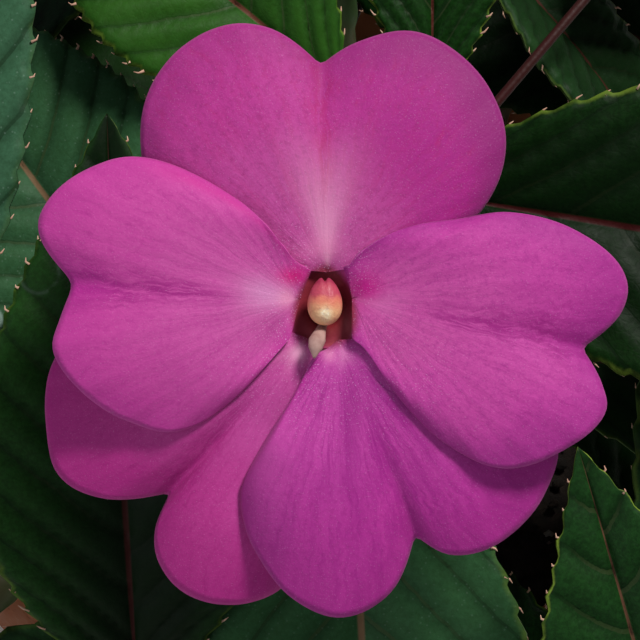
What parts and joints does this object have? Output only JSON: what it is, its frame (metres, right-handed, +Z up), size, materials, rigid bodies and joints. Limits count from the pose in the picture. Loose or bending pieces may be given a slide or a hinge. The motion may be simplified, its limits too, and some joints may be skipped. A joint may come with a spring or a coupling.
{
  "type": "potted new guinea impatiens",
  "caption": "Bushy flowering pot plant: a plain tapered clay pot, toothed leaves on fleshy stems, and flat spurred blooms of notched pink-purple petals",
  "frame": {"origin": "middle of the pot's flat underside, at the level of what it stands on", "axes": "+Z up along the pot's axis; -Y towards the side of the bloom in front; +X to the right of someone facing that side"},
  "size_m": [0.2969, 0.3083, 0.2494],
  "materials": {
    "clay": "matte fired clay",
    "soil": "dark crumbly potting soil",
    "leaf": "dark green, waxy sheen",
    "petal": "pink-purple, velvety with a fine sparkle",
    "sepal": "pale tan to pink, soft sheen",
    "column": "coral to cream, soft sheen",
    "bud": "rosy, soft sheen"
  },
  "bodies": {
    "root": {"pot": "clay", "soil": "soil", "leafy_stem_front": "leaf", "leafy_stem_front_right": "leaf", "leafy_stem_right": "leaf", "leafy_stem_front_left": "leaf", "leafy_stem_back_left": "leaf", "leafy_stem_back": "leaf", "leafy_stem_back_right": "leaf", "leafy_stem_top": "leaf", "bloom_front_petals": "petal", "bloom_front_spurred_sepal": "sepal", "bloom_front_column": "column", "bloom_front_right_petals": "petal", "bloom_front_right_spurred_sepal": "sepal", "bloom_front_right_column": "column", "bloom_right_petals": "petal", "bloom_right_spurred_sepal": "sepal", "bloom_right_column": "column", "bloom_back_left_petals": "petal", "bloom_back_left_spurred_sepal": "sepal", "bloom_back_left_column": "column", "bloom_back_petals": "petal", "bloom_back_spurred_sepal": "sepal", "bloom_back_column": "column", "bloom_top_petals": "petal", "bloom_top_spurred_sepal": "sepal", "bloom_top_column": "column", "bud_1": "bud", "bud_2": "bud", "bud_3": "bud", "bud_4": "bud", "bud_5": "bud"}
  },
  "joints": []
}
